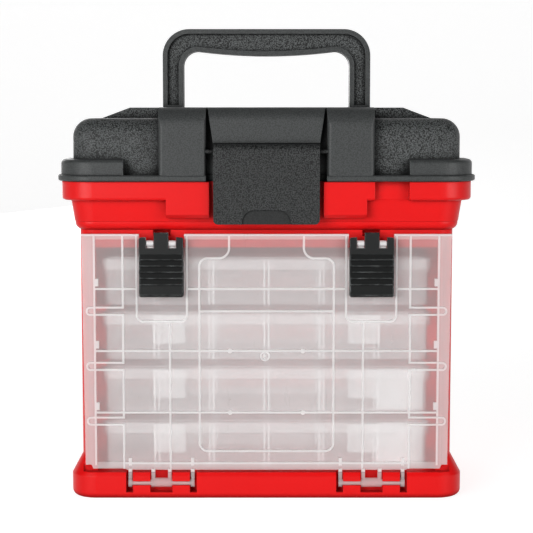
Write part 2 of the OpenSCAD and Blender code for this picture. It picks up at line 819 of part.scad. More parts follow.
// Pins of the two door latches, held in the door's ears
module door_latch_pins() {
    reach = door_latch_w / 2 - 2;
    color(clear) both_sides() bar_x(door_latch_x - reach, door_latch_x + reach,
        door_latch_y, door_latch_z, door_latch_pin);
}

// Wedge across a door latch that rises from its skin to a lip below
module grip(w, h) {
    out = 1.4;
    lip = 0.4;
    translate([-w / 2, 0, 0]) rotate([90, 0, 90]) linear_extrude(w)
        polygon([[eps, 0], [0, 0], [-out, 2 * lip - h], [-out, lip - h], [0, lip / 2 - h],
            [eps, lip / 2 - h]]);
}

// Door latch: tongue and prongs parted by open notches, wedges to pull it by and side walls
module door_latch() {
    x = door_latch_w / 2;
    front = -door_latch_t / 2;
    skin = 1.8;
    foot = -door_latch_l;
    prong = ear_x + ear_w / 2 + run_gap;
    notch_z = -ear_drop + 1.6;
    grips = 5;
    grip_top = -6.7;
    grip_h = 4;
    lip_h = 6.8;
    color(black) translate([door_latch_x, door_latch_y, door_latch_z]) difference() {
        union() {
            upright(front + skin, front)
                translate([0, (door_latch_top + foot) / 2]) plan(2 * x, door_latch_top - foot, 1.5);
            both_sides() block([x - 1.6, front + eps, foot + 1], [x, -front, door_latch_top - 2]);
            bar_x(-x, x, 0, 0, door_latch_t);
            block([-tongue_w / 2, front, 0], [tongue_w / 2, front + 3, 7]);
            for (k = [0 : grips]) translate([0, front, grip_top - grip_h * k])
                grip(2 * x - 1, k < grips ? grip_h : lip_h);
        }
        bar_x(-door_latch_w, door_latch_w, 0, 0, door_latch_pin + 2 * pin_fit);
        both_sides() block([tongue_w / 2, front - 1, notch_z], [prong, 1 - front, door_latch_top + 3]);
    }
}

// Places a child of utility box k, counted from the bottom, in the rack
module in_rack(k) {
    translate([0, 0, floor_z + run_gap + (k - 1) * box_pitch]) children();
}

// Solid on a rounded plan between two heights
module slab(w, d, r, z0, z1) {
    translate([0, 0, z0]) linear_extrude(z1 - z0) plan(w, d, r);
}

// Tray of a utility box: two rows parted by a middle wall, with slots for the dividers
module box_tray(k) {
    fin = 1;
    flange_z = box_h - band_h - run_gap;
    lug_h = 11.6;
    rear = box_d / 2;
    color(clear) in_rack(k) {
        difference() {
            union() {
                slab(tray_w, tray_d, box_r - 2, 0, tray_h);
                slab(box_w - 1, box_d - 1, box_r - 0.5, flange_z - 1.6, flange_z);
                both_sides() {
                    for (s = [-1, 1]) translate([box_latch_x + s * (box_latch_w / 2 - 2), 0, flange_z])
                        block([-1, -box_d / 2 - 1.5, -lug_h], [1, -tray_d / 2 + eps, -1]);
                    block([box_hinge[0], tray_d / 2 - eps, flange_z - 6],
                        [box_hinge[1], rear + box_hinge_out, flange_z]);
                }
            }
            slab(tray_w - 2 * box_wall, tray_d - 2 * box_wall, box_r - 2 - box_wall, box_wall, box_h);
        }
        difference() {
            union() {
                block([-tray_w / 2 + eps, -mid_t / 2, box_wall - eps],
                    [tray_w / 2 - eps, mid_t / 2, tray_h - 0.8]);
                for (x = [-2 : 2], s = [-1, 1]) {
                    x0 = x * slot_pitch + s * (slot_gap + fin) / 2 - fin / 2;
                    for (y = [-bay_half, bay_half]) block([x0, y - fin, box_wall - eps],
                        [x0 + fin, y + fin, tray_h - 3]);
                    block([x0, -mid_t / 2 - fin, box_wall - eps], [x0 + fin, mid_t / 2 + fin, tray_h - 3]);
                }
            }
            difference() {
                slab(box_w + 9, box_d + 9, box_r, -1, box_h);
                slab(tray_w - 1, tray_d - 1, box_r - 2.5, -2, box_h + 1);
            }
        }
    }
}

// Lid of a utility box: thin plate with a raised field, skirt and rear hinge tongues
module box_lid(k) {
    skirt = 1.4;
    band_z = box_h - band_h;
    color(clear) in_rack(k) {
        difference() {
            union() {
                slab(box_w, box_d, box_r, band_z, box_h - 0.6);
                slab(box_w - 8, box_d - 8, box_r - 3, box_h - 1, box_h);
            }
            slab(box_w - 2 * skirt, box_d - 2 * skirt, box_r - skirt, band_z - 1, box_h - box_wall);
        }
        both_sides() block([box_hinge[0], box_d / 2 - eps, band_z],
            [box_hinge[1], box_d / 2 + box_hinge_out, box_h - 2]);
    }
}

// Snap latch of a utility box: grip plate, top hook over the lid's band and a foot on its lugs
module box_latch(k) {
    top = box_h - 1;
    foot = box_h - box_latch_h;
    front = box_latch_y - 1.5 - box_latch_t;
    color(clear) in_rack(k) translate([box_latch_x, 0, 0]) {
        upright(front + box_latch_t, front) translate([0, (top + foot) / 2])
            plan(box_latch_w, top - foot, 1.5);
        block([-box_latch_w / 2 + 1.5, front + eps, top - 2], [box_latch_w / 2 - 1.5, box_latch_y, top]);
        for (z = [foot + 4 : 3 : foot + 10]) block([-box_latch_w / 2 + 2, front - 0.6, z],
            [box_latch_w / 2 - 2, front + eps, z + 1.2]);
    }
}

// Loose dividers of one box, and in the two lower boxes a row of short spares at the front right
module dividers(k) {
    spare_w = slot_pitch - 5;
    spare_x = tray_w / 2 - box_wall - spare_w - 1.5;
    color(clear) in_rack(k) {
        for (x = [-1, 1], s = [-1, 1])
            translate([x * slot_pitch, s * (mid_t / 2 + bay_half) / 2, box_wall])
                block([-divider_t / 2, -divider_l / 2, 0], [divider_t / 2, divider_l / 2, divider_h]);
        if (k < 3) for (n = [0 : 5])
            translate([spare_x, -bay_half + 2 + n * (divider_t + run_gap), box_wall])
                cube([spare_w, divider_t, divider_h]);
    }
}

rack_housing();
upper_bin();
lid_hinge_pins();
lid_shell();
handle_pivots();
carry_handle();
lid_latch_pin();
lid_latch();
door_panel();
door_latch_pins();
mirror([1, 0, 0]) door_latch();  // door_latch_left
door_latch();  // door_latch_right
for (k = [1 : 4]) {
    box_tray(k);
    box_lid(k);
    mirror([1, 0, 0]) box_latch(k);
    box_latch(k);
    dividers(k);
}
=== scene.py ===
import json
from math import radians

import bpy
from bpy.props import FloatProperty, FloatVectorProperty, PointerProperty
from bpy.types import Operator, Panel, PropertyGroup
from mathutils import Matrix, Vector


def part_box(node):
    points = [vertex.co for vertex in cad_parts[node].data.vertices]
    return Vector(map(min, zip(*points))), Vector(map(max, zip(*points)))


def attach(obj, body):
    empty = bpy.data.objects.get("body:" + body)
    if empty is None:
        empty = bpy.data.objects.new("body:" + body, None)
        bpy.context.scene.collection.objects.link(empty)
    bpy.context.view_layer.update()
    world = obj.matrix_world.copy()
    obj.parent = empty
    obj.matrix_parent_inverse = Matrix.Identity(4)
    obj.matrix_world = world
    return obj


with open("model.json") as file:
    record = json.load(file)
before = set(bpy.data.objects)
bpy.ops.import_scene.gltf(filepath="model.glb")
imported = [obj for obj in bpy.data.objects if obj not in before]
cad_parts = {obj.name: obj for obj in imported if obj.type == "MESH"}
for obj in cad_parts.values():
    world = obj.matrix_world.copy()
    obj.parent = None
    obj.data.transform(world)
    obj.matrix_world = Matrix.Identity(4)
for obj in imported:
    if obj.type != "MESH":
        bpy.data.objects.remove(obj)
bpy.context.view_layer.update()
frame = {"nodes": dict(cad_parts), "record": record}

bl_info = {
    "name": "Fishing Tackle Cabinet",
    "version": (1, 0, 0),
    "blender": (4, 5, 0),
    "location": "View3D > Sidebar > Tackle Cabinet",
    "description": "Finishes, small mouldings, studio and camera for a fishing tackle cabinet",
    "category": "Object",
}

MM = 0.001
BOXES = (1, 2, 3, 4)

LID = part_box("lid_shell")
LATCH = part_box("lid_latch")
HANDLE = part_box("carry_handle")
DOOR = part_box("door_panel")
EDGE = Vector((MM, MM, MM))
RIM_FOOT = next(joint["pos_m"][2] for joint in frame["record"]["behaviour"]["joints"]
                if joint["name"] == "lid_hinge")


def paint(red, green, blue):
    """A colour given as it shows on screen, 0 to 255, in Blender's linear values"""
    def linear(level):
        level /= 255
        return level / 12.92 if level <= 0.04045 else ((level + 0.055) / 1.055) ** 2.4
    return (linear(red), linear(green), linear(blue))


# ---------------------------------------------------------------- settings

class FinishSettings(PropertyGroup):
    """Colours and surface sizes of the mouldings"""
    case_red: FloatVectorProperty(
        name="Case red", description="Colour of the housing and the bin",
        subtype="COLOR", size=3, min=0, max=1, default=paint(236, 14, 16))
    case_black: FloatVectorProperty(
        name="Lid black", description="Colour of the lid, the handle and the latches",
        subtype="COLOR", size=3, min=0, max=1, default=paint(60, 62, 62))
    frosted: FloatVectorProperty(
        name="Frosted clear", description="Colour of the door and the utility boxes",
        subtype="COLOR", size=3, min=0, max=1, default=paint(239, 237, 237))
    steel: FloatVectorProperty(
        name="Pin steel", description="Colour of the lid's hinge pins",
        subtype="COLOR", size=3, min=0, max=1, default=paint(190, 190, 192))
    pebble: FloatProperty(
        name="Pebble size", description="Width of one pebble of the lid's grain",
        subtype="DISTANCE", unit="LENGTH", min=0.2 * MM, max=4 * MM, default=0.75 * MM)
    edge_round: FloatProperty(
        name="Edge rounding", description="Radius that moulded edges seem to have",
        subtype="DISTANCE", unit="LENGTH", min=0, max=2 * MM, default=0.6 * MM)
    door_cover: FloatProperty(
        name="Door cover", description="Share of the light that the door's sheet stops",
        subtype="FACTOR", min=0, max=1, default=0.3)
    box_cover: FloatProperty(
        name="Box cover", description="Share of the light that a wall of a utility box stops",
        subtype="FACTOR", min=0, max=1, default=0.33)


class MarkSettings(PropertyGroup):
    """Small mouldings that the CAD model leaves out"""
    pip_place: FloatVectorProperty(
        name="Gate pip place", description="Middle of the ring on the door, from the left and up",
        subtype="XYZ", unit="LENGTH", size=2, default=(-1 * MM, 93.8 * MM))
    pip_radius: FloatProperty(
        name="Gate pip radius", description="Radius of the pip that the mould's gate leaves",
        subtype="DISTANCE", unit="LENGTH", min=0.3 * MM, max=2 * MM, default=1.0 * MM)
    pip_height: FloatProperty(
        name="Gate pip height", description="How far the pip stands out of the door's sheet",
        subtype="DISTANCE", unit="LENGTH", min=0.2 * MM, max=1.7 * MM, default=1.1 * MM)


class StudioSettings(PropertyGroup):
    """Camera, lamps and floor"""
    eye_distance: FloatProperty(
        name="Eye distance", description="From the cabinet's middle to the camera",
        subtype="DISTANCE", unit="LENGTH", min=0.3, max=5, default=1.035)
    eye_height: FloatProperty(
        name="Eye height", description="Height of the camera over the floor",
        subtype="DISTANCE", unit="LENGTH", min=0, max=3, default=0.2496)
    tilt: FloatProperty(
        name="Tilt", description="Angle at which the camera looks down",
        subtype="ANGLE", unit="ROTATION", min=0, max=radians(89), default=radians(5.8))
    focal_length: FloatProperty(
        name="Focal length", description="Lens in millimetres on a 36 mm sensor",
        min=10, max=300, default=101.3)
    sky: FloatProperty(
        name="Room light", description="Strength of the even light from all sides",
        min=0, max=2, default=0.3)
    ceiling: FloatProperty(
        name="Ceiling", description="Share of the room light that comes from straight above",
        subtype="FACTOR", min=0, max=1, default=0.04)
    key: FloatProperty(
        name="Key lamp", description="Power of the large lamp at the front left",
        subtype="POWER", unit="POWER", min=0, max=200, default=26.5)
    fill: FloatProperty(
        name="Fill lamp", description="Power of the lamp at the front right",
        subtype="POWER", unit="POWER", min=0, max=200, default=15)
    top: FloatProperty(
        name="Top lamp", description="Power of the lamp overhead",
        subtype="POWER", unit="POWER", min=0, max=200, default=0.6)
    back: FloatProperty(
        name="Back lamp", description="Power of the lamp behind the cabinet",
        subtype="POWER", unit="POWER", min=0, max=200, default=12)


# ---------------------------------------------------------------- node wiring

class Wires:
    """Adds shader nodes to one tree and feeds their sockets"""

    def __init__(self, tree):
        self.tree = tree
        tree.nodes.clear()

    def feed(self, socket, value):
        """Links a socket to another node's output, or sets it to a plain value"""
        if isinstance(value, bpy.types.NodeSocket):
            self.tree.links.new(value, socket)
        elif socket.type == "RGBA" and len(value) == 3:
            socket.default_value = (*value, 1)
        else:
            socket.default_value = value

    def add(self, kind, feeds=None, **settings):
        """A node with its settings, fed by socket name or number"""
        node = self.tree.nodes.new(kind)
        for name, value in settings.items():
            setattr(node, name, value)
        for key, value in (feeds or {}).items():
            self.feed(node.inputs[key], value)
        return node

    def maths(self, operation, *values, clamp=False):
        """Result of a sum on plain numbers or outputs"""
        node = self.add("ShaderNodeMath", operation=operation, use_clamp=clamp)
        for socket, value in zip(node.inputs, values):
            self.feed(socket, value)
        return node.outputs[0]

    def spread(self, value, low, high, to_low=0.0, to_high=1.0):
        """A value mapped smoothly from one span to another"""
        return self.add("ShaderNodeMapRange", {
            "Value": value, "From Min": low, "From Max": high,
            "To Min": to_low, "To Max": to_high}, interpolation_type="SMOOTHSTEP").outputs[0]

    def noise(self, vector, size, detail=2.0, roughness=0.5):
        """Cloudy noise whose clouds are about one size wide"""
        return self.add("ShaderNodeTexNoise", {
            "Vector": vector, "Scale": 1 / size, "Detail": detail,
            "Roughness": roughness}).outputs["Fac"]

    def mix(self, share, first, second):
        """Two colours mixed by a share"""
        node = self.add("ShaderNodeMix", data_type="RGBA")
        for socket, value in zip((node.inputs[0], node.inputs[6], node.inputs[7]),
                                 (share, first, second)):
            self.feed(socket, value)
        return node.outputs[2]


def new_group(name, ins, outs):
    """An empty shader group with its named inputs and outputs, and the wires to fill it"""
    tree = bpy.data.node_groups.new(name, "ShaderNodeTree")
    for label, (kind, value) in ins.items():
        socket = tree.interface.new_socket(label, in_out="INPUT", socket_type=kind)
        if value is not None:
            socket.default_value = value
    for label, kind in outs.items():
        tree.interface.new_socket(label, in_out="OUTPUT", socket_type=kind)
    wires = Wires(tree)
    given = wires.add("NodeGroupInput").outputs
    return wires, given, wires.add("NodeGroupOutput").inputs


NUMBER, POINT, COLOUR = "NodeSocketFloat", "NodeSocketVector", "NodeSocketColor"


def soft_edges():
    """Rounds sharp edges in the shading and marks them, broken up, as an edge mask: moulded finishes
    turn these edges paler, part rubbing and part painted highlight, and frosted ones denser
    """
    wires, given, out = new_group(
        "Soft edges", {"Vector": (POINT, None), "Radius": (NUMBER, 0.0006)},
        {"Normal": POINT, "Broken edges": NUMBER})
    bevel = wires.add("ShaderNodeBevel", {"Radius": given["Radius"]}, samples=4).outputs[0]
    flat = wires.add("ShaderNodeNewGeometry").outputs["Normal"]
    across = wires.add("ShaderNodeVectorMath", {0: bevel, 1: flat},
                       operation="DOT_PRODUCT").outputs["Value"]
    edge = wires.spread(across, 0.995, 0.80)
    patches = wires.spread(wires.noise(given["Vector"], 9 * MM, 4.0, 0.65), 0.36, 0.64)
    wires.feed(out["Normal"], bevel)
    wires.feed(out["Broken edges"], wires.maths("MULTIPLY", edge, patches))


def crevices():
    """Mask of the narrow places that light hardly reaches, broken up by noise, with which the finishes
    paint shade there
    """
    wires, given, out = new_group(
        "Crevices", {"Vector": (POINT, None), "Reach": (NUMBER, 0.008)}, {"Mask": NUMBER})
    open_sky = wires.add("ShaderNodeAmbientOcclusion", {"Distance": given["Reach"]},
                         samples=6).outputs["AO"]
    shade_jitter = wires.noise(given["Vector"], 3 * MM, 2.0)
    wires.feed(out["Mask"], wires.spread(wires.maths("MULTIPLY_ADD", shade_jitter, 0.12, open_sky), 0.92, 0.4))


def pebble_grain():
    """Leather-like pebbles of a textured mould, as height and as a mask of the dips between pebbles,
    for painted light on their tops and painted shade in the dips
    """
    wires, given, out = new_group(
        "Pebble grain", {"Vector": (POINT, None), "Size": (NUMBER, 0.001)},
        {"Height": NUMBER, "Hollow": NUMBER})
    finer = wires.add("ShaderNodeTexVoronoi", {
        "Vector": given["Vector"], "Scale": wires.maths("DIVIDE", 1, given["Size"]),
        "Smoothness": 0.35, "Randomness": 1}, feature="SMOOTH_F1").outputs["Distance"]
    dome = wires.spread(finer, 0.62, 0.12)
    drift = wires.noise(given["Vector"], 5 * MM, 3.0)
    wires.feed(out["Height"], wires.maths("MULTIPLY", dome, wires.spread(drift, 0.25, 0.7, 0.6, 1)))
    wires.feed(out["Hollow"], wires.spread(finer, 0.26, 0.7))


def surface_life():
    """Slow and fine variation of a moulded colour, with flow marks"""
    wires, given, out = new_group(
        "Surface life", {"Vector": (POINT, None), "Color": (COLOUR, (0.5, 0.5, 0.5, 1)),
                         "Amount": (NUMBER, 0.1)}, {"Color": COLOUR, "Cloud": NUMBER})
    slow = wires.noise(given["Vector"], 60 * MM, 3.0)
    fine = wires.noise(given["Vector"], 1.6 * MM, 2.0)
    both = wires.maths("ADD", wires.maths("MULTIPLY", slow, 0.7), wires.maths("MULTIPLY", fine, 0.3))
    centred = wires.maths("SUBTRACT", both, 0.5)
    gain = wires.maths("MULTIPLY_ADD", centred, given["Amount"], 1.0)
    scaled = wires.add("ShaderNodeVectorMath", {0: given["Color"], "Scale": gain},
                       operation="SCALE").outputs[0]
    wires.feed(out["Color"], scaled)
    wires.feed(out["Cloud"], slow)


def handling_marks():
    """Roughness broken up by wiping and handling, and sparse hair scratches"""
    wires, given, out = new_group(
        "Handling marks", {"Vector": (POINT, None), "Roughness": (NUMBER, 0.4),
                           "Amount": (NUMBER, 0.1)}, {"Roughness": NUMBER, "Scratch": NUMBER})
    stretched = wires.add("ShaderNodeMapping", {
        "Vector": given["Vector"], "Rotation": (0.3, 0.2, 0.5), "Scale": (6, 0.5, 1.4)}).outputs[0]
    smears = wires.noise(stretched, 45 * MM, 4.0, 0.6)
    hair = wires.add("ShaderNodeMapping", {
        "Vector": given["Vector"], "Rotation": (0.7, 0.4, 1.1), "Scale": (14, 0.7, 9)}).outputs[0]
    lines = wires.spread(wires.noise(hair, 12 * MM, 2.0), 0.70, 0.74)
    spots = wires.spread(wires.noise(given["Vector"], 34 * MM, 1.0), 0.52, 0.66)
    wires.feed(out["Roughness"], wires.maths(
        "ADD", given["Roughness"], wires.maths(
            "MULTIPLY", wires.maths("SUBTRACT", smears, 0.5), given["Amount"]), clamp=True))
    wires.feed(out["Scratch"], wires.maths("MULTIPLY", lines, spots))


def inside_box():
    """Mask that is 1 inside a box and falls to 0 over a soft border"""
    wires, given, out = new_group(
        "Inside box", {"Vector": (POINT, None), "Low": (POINT, None), "High": (POINT, None),
                       "Border": (NUMBER, 0.0005)}, {"Mask": NUMBER})
    rises = []
    for first, second in ((given["Vector"], given["Low"]), (given["High"], given["Vector"])):
        gap = wires.add("ShaderNodeVectorMath", {0: first, 1: second}, operation="SUBTRACT")
        axes = wires.add("ShaderNodeSeparateXYZ", {"Vector": gap.outputs[0]}).outputs
        rises += [wires.maths("DIVIDE", axis, given["Border"], clamp=True) for axis in axes]
    least = rises[0]
    for rise in rises[1:]:
        least = wires.maths("MINIMUM", least, rise)
    wires.feed(out["Mask"], least)


def slot_lines():
    """Mask of the fin pairs that hold the dividers, on faces that look to the front or back"""
    wires, given, out = new_group(
        "Slot lines", {"Vector": (POINT, None), "Pitch": (NUMBER, 0.036), "Reach": (NUMBER, 0.08),
                       "Inner": (NUMBER, 0.0009), "Outer": (NUMBER, 0.002)}, {"Mask": NUMBER})
    place = wires.add("ShaderNodeSeparateXYZ", {"Vector": given["Vector"]}).outputs
    x = wires.maths("ABSOLUTE", place["X"])
    off = wires.maths("PINGPONG", x, wires.maths("MULTIPLY", given["Pitch"], 0.5))
    pair = wires.maths("MULTIPLY", wires.maths("GREATER_THAN", off, given["Inner"]),
                       wires.maths("LESS_THAN", off, given["Outer"]))
    normal = wires.add("ShaderNodeNewGeometry").outputs["Normal"]
    facing = wires.add("ShaderNodeSeparateXYZ", {"Vector": normal}).outputs["Y"]
    upright = wires.maths("GREATER_THAN", wires.maths("ABSOLUTE", facing), 0.9)
    within = wires.maths("LESS_THAN", x, given["Reach"])
    wires.feed(out["Mask"], wires.maths("MULTIPLY", pair, wires.maths("MULTIPLY", upright, within)))


# ---------------------------------------------------------------- finishes

class Finish:
    """A material in the making: its wires, its shader and the place on the piece"""

    def __init__(self, name, colour):
        self.material = bpy.data.materials.new(name)
        self.material.use_nodes = True
        self.material.diffuse_color = (*colour, 1)
        self.wires = Wires(self.material.node_tree)
        self.shader = self.wires.add("ShaderNodeBsdfPrincipled", {"Base Color": colour})
        self.wires.feed(self.wires.add("ShaderNodeOutputMaterial").inputs["Surface"],
                        self.shader.outputs[0])
        self.place = self.wires.add("ShaderNodeTexCoord").outputs["Object"]

    def group(self, name, **feeds):
        """One of the shared effects, fed with the place and its own values"""
        node = self.wires.add("ShaderNodeGroup", node_tree=bpy.data.node_groups[name])
        self.wires.feed(node.inputs["Vector"], self.place)
        for key, value in feeds.items():
            self.wires.feed(node.inputs[key], value)
        return node.outputs

    def set(self, **feeds):
        """Sets or links the shader's own sockets"""
        for key, value in feeds.items():
            self.wires.feed(self.shader.inputs[key.replace("_", " ")], value)

    def bump(self, height, distance, strength, normal):
        """Bumps a normal by a height"""
        return self.wires.add("ShaderNodeBump", {
            "Height": height, "Distance": distance, "Strength": strength,
            "Normal": normal}).outputs[0]


def moulded(name, colour, radius, roughness, life=0.16, edge_wear_and_highlight=0.35, paler=1.35, gloss=0.26,
            crevice_shade=0.35):
    """Plain moulded plastic: soft edges, colour drift, handling marks and fine skin, with edges turned
    paler, part rubbing and part painted highlight, and painted shade in crevices
    """
    finish = Finish(name, colour)
    wires = finish.wires
    edges = finish.group("Soft edges", Radius=radius)
    varied = finish.group("Surface life", Color=colour, Amount=life)
    marks = finish.group("Handling marks", Roughness=roughness, Amount=0.14)
    # Pale edges, part rubbing and part painted highlight: the edge mask mixes the colour towards a
    # paler copy of it
    edge_colour = tuple(min(1.0, paler * level + 0.01) for level in colour)
    worn_and_lit = wires.maths("MULTIPLY", edges["Broken edges"], edge_wear_and_highlight)
    finish.colour = wires.mix(worn_and_lit, varied["Color"], edge_colour)
    # Painted shade: in narrow places the crevice mask mixes the base colour towards a darker share of
    # it, and also raises the roughness
    finish.deep = finish.group("Crevices")["Mask"]
    finish.roughness = wires.maths("MULTIPLY_ADD", finish.deep, 0.5, marks["Roughness"], clamp=True)
    skin = wires.maths("ADD", wires.noise(finish.place, 0.9 * MM, 2.0),
                       wires.maths("MULTIPLY", marks["Scratch"], -0.6))
    finish.normal = finish.bump(skin, 0.05 * MM, 0.25, edges["Normal"])
    finish.shade = tuple(crevice_shade * level for level in colour)
    finish.set(Base_Color=wires.mix(finish.deep, finish.colour, finish.shade),
               Roughness=finish.roughness, Normal=finish.normal, Specular_IOR_Level=gloss)
    return finish


def red_case(settings):
    """Glossy red polypropylene"""
    return moulded("Red moulding", tuple(settings.case_red), settings.edge_round, 0.36,
                   crevice_shade=0.6).material


def grained(name, settings, smooth_parts, tone=1.0, crown_light=2.9, paler=3.0):
    """Black polypropylene with a pebble grain, almost smooth inside the boxes given; the pebble tops
    get painted light and the dips between them painted shade, over painted shade in crevices and pale
    edges that are part rubbing and part painted highlight
    """
    colour = tuple(tone * level for level in settings.case_black)
    finish = moulded(name, colour, settings.edge_round, 0.42, edge_wear_and_highlight=0.8, paler=paler, gloss=0.28,
                     crevice_shade=0.08)
    wires = finish.wires
    hollow_shade, depth = 0.12, 0.2 * MM
    grain = finish.group("Pebble grain", Size=settings.pebble)
    smooth = 0.0
    for low, high in smooth_parts:
        mask = finish.group("Inside box", Low=low, High=high)["Mask"]
        smooth = wires.maths("MAXIMUM", smooth, mask)
    rough = wires.maths("MULTIPLY_ADD", smooth, -0.8, 1)
    height = wires.maths("MULTIPLY", grain["Height"], rough)
    # Painted light and shade on the grain: lit copies of the colour on the pebble tops, shaded copies
    # in the dips between them
    light, dark = (tuple(share * level for level in colour) for share in (crown_light, hollow_shade))
    pebbles = wires.mix(grain["Hollow"], light, dark)
    skin = wires.mix(wires.maths("MULTIPLY", rough, 0.9), finish.colour, pebbles)
    finish.set(Normal=finish.bump(height, depth, 1.0, finish.normal),
               Base_Color=wires.mix(finish.deep, skin, finish.shade),
               Roughness=wires.maths("ADD", finish.roughness, wires.maths("MULTIPLY", rough, 0.08)))
    return finish.material


def frosted(name, settings, cover, thick_parts=(), fins=0.0):
    """Frosted clear polypropylene that covers a share of what is behind it: more where the
    moulding is thick or seen edge-on, nothing on the side away from the eye, less in shadows"""
    colour = tuple(settings.frosted)
    finish = Finish(name, colour)
    wires = finish.wires
    edges = finish.group("Soft edges", Radius=0.4 * MM)
    varied = finish.group("Surface life", Color=colour, Amount=0.08)
    marks = finish.group("Handling marks", Roughness=0.30, Amount=0.16)
    dense = wires.maths("MULTIPLY", edges["Broken edges"], 0.3)
    for low, high, share in thick_parts:
        mask = finish.group("Inside box", Low=low, High=high)["Mask"]
        dense = wires.maths("MAXIMUM", dense, wires.maths("MULTIPLY", mask, share))
    if fins:
        lines = finish.group("Slot lines")["Mask"]
        dense = wires.maths("MAXIMUM", dense, wires.maths("MULTIPLY", lines, fins))
    facing = wires.add("ShaderNodeLayerWeight", {"Blend": 0.35}).outputs["Facing"]
    rim = wires.maths("MULTIPLY", wires.maths("POWER", facing, 3.0), 0.4)
    cloud_span = 0.08
    cloud = wires.maths("MULTIPLY_ADD", varied["Cloud"], cloud_span, cover - cloud_span / 2)
    stopped = wires.maths("ADD", wires.maths("MAXIMUM", dense, rim), cloud, clamp=True)
    far_side = wires.add("ShaderNodeNewGeometry").outputs["Backfacing"]
    shadow = wires.add("ShaderNodeLightPath").outputs["Is Shadow Ray"]
    shadow_share = 0.2
    shown = wires.maths("MULTIPLY", wires.maths("SUBTRACT", 1, far_side),
                        wires.maths("MULTIPLY_ADD", shadow, shadow_share - 1, 1))
    skin = wires.maths("ADD", wires.noise(finish.place, 2.4 * MM, 3.0),
                       wires.maths("MULTIPLY", marks["Scratch"], -0.5))
    finish.set(Base_Color=varied["Color"], Roughness=marks["Roughness"],
               Alpha=wires.maths("MULTIPLY", stopped, shown),
               Normal=finish.bump(skin, 0.06 * MM, 0.3, edges["Normal"]),
               Specular_IOR_Level=0.5)
    return finish.material


def pin_steel(settings):
    """Drawn steel wire with fine lengthwise lines"""
    colour = tuple(settings.steel)
    finish = Finish("Pin steel", colour)
    wires = finish.wires
    varied = finish.group("Surface life", Color=colour, Amount=0.2)
    along = wires.add("ShaderNodeMapping", {"Vector": finish.place, "Scale": (0.1, 1, 1)}).outputs[0]
    lines = wires.noise(along, 0.3 * MM, 3.0)
    finish.set(Base_Color=varied["Color"], Metallic=1.0,
               Roughness=wires.spread(lines, 0.2, 0.8, 0.24, 0.42))
    plain = wires.add("ShaderNodeNewGeometry").outputs["Normal"]
    finish.set(Normal=finish.bump(lines, 0.02 * MM, 0.4, plain))
    return finish.material


def dress(material, *nodes):
    """Gives CAD nodes a finish"""
    for name in nodes:
        for holder in frame["nodes"][name].material_slots:
            holder.material = material


def front_plane(name):
    """Y of the widest flat front of a CAD node"""
    areas = {}
    for face in frame["nodes"][name].data.polygons:
        if face.normal.y < -0.99:
            y = round(face.center.y, 5)
            areas[y] = areas.get(y, 0) + face.area
    return max(areas, key=areas.get)


# ---------------------------------------------------------------- operators

class TACKLE_OT_effects(Operator):
    """Builds the shared surface effects as shader groups"""
    bl_idname = "tackle.effects"
    bl_label = "Surface effects"

    def execute(self, context):
        for make in (soft_edges, crevices, pebble_grain, surface_life, handling_marks,
                     inside_box, slot_lines):
            make()
        return {"FINISHED"}


class TACKLE_OT_red_case(Operator):
    """Finishes the red housing and the upper bin"""
    bl_idname = "tackle.red_case"
    bl_label = "Red case"

    def execute(self, context):
        dress(red_case(context.scene.tackle_finish), "rack_housing", "upper_bin")
        return {"FINISHED"}


class TACKLE_OT_black_lid(Operator):
    """Finishes the lid, its carry handle and the main latch"""
    bl_idname = "tackle.black_lid"
    bl_label = "Lid, handle and main latch"

    def execute(self, context):
        finish = context.scene.tackle_finish
        low, high = LID[0] - EDGE, LID[1] + EDGE
        pier_x, pad_x, pad_y = 69 * MM, 91 * MM, 42 * MM
        rim_top, pad_top = RIM_FOOT + 4.4 * MM, RIM_FOOT + 14.6 * MM
        smooth = [((-pier_x, low.y, low.z), (pier_x, -pad_y, high.z)), (low, (high.x, high.y, rim_top))]
        for x0, x1 in ((low.x, -pad_x), (pad_x, high.x)):
            for y0, y1 in ((low.y, -pad_y), (pad_y, high.y)):
                smooth.append(((x0, y0, low.z), (x1, y1, pad_top)))
        lid = grained("Lid moulding", finish, smooth)
        dress(lid, "lid_shell", "handle_pivots")
        low, high, web = HANDLE[0] - EDGE, HANDLE[1] + EDGE, 4.7 * MM
        smooth = [(low, (high.x, -web, high.z)), ((low.x, web, low.z), high)]
        # The handle's edges are painted paler still, part rubbing and part painted highlight
        dress(grained("Handle moulding", finish, smooth, paler=4.5), "carry_handle")
        low, high, dimple_x, dimple_h = LATCH[0] - EDGE, LATCH[1], 15.5 * MM, 9 * MM
        dimple = ((-dimple_x, low.y, low.z), (dimple_x, high.y, low.z + EDGE.z + dimple_h))
        # The main latch's pebble tops get a stronger painted light
        latch = grained("Main latch moulding", finish, [dimple], tone=0.25, crown_light=5.0)
        dress(latch, "lid_latch", "lid_latch_pin")
        return {"FINISHED"}


class TACKLE_OT_door(Operator):
    """Finishes the clear door and its two black latches"""
    bl_idname = "tackle.door"
    bl_label = "Door and door latches"

    def execute(self, context):
        finish = context.scene.tackle_finish
        low, high = DOOR[0] - EDGE, DOOR[1] + EDGE
        ribs_back = front_plane("door_panel") - 0.6 * MM
        strip_x, bars_top = high.x - 8 * MM, low.z + 11 * MM
        rib, bar, strip = 0.52, 0.16, 0.24
        dense = [((low.x, low.y, bars_top), (high.x, ribs_back, high.z), rib),
                 (low, (high.x, high.y, bars_top), bar),
                 (low, (-strip_x, high.y, high.z), strip), ((strip_x, low.y, low.z), high, strip)]
        dress(frosted("Door sheet", finish, finish.door_cover, dense), "door_panel")
        dress(frosted("Door latch pin", finish, 0.7 * finish.door_cover), "door_latch_pins")
        darker = tuple(0.25 * level for level in finish.case_black)
        # Door latches: their grip edges are painted much paler, a strong painted highlight along each
        # ridge
        latch = moulded("Door latch moulding", darker, 0.8 * MM, 0.38, edge_wear_and_highlight=1.0, paler=25.0,
                        gloss=0.2, crevice_shade=0.1)
        dress(latch.material, "door_latch_left", "door_latch_right")
        return {"FINISHED"}


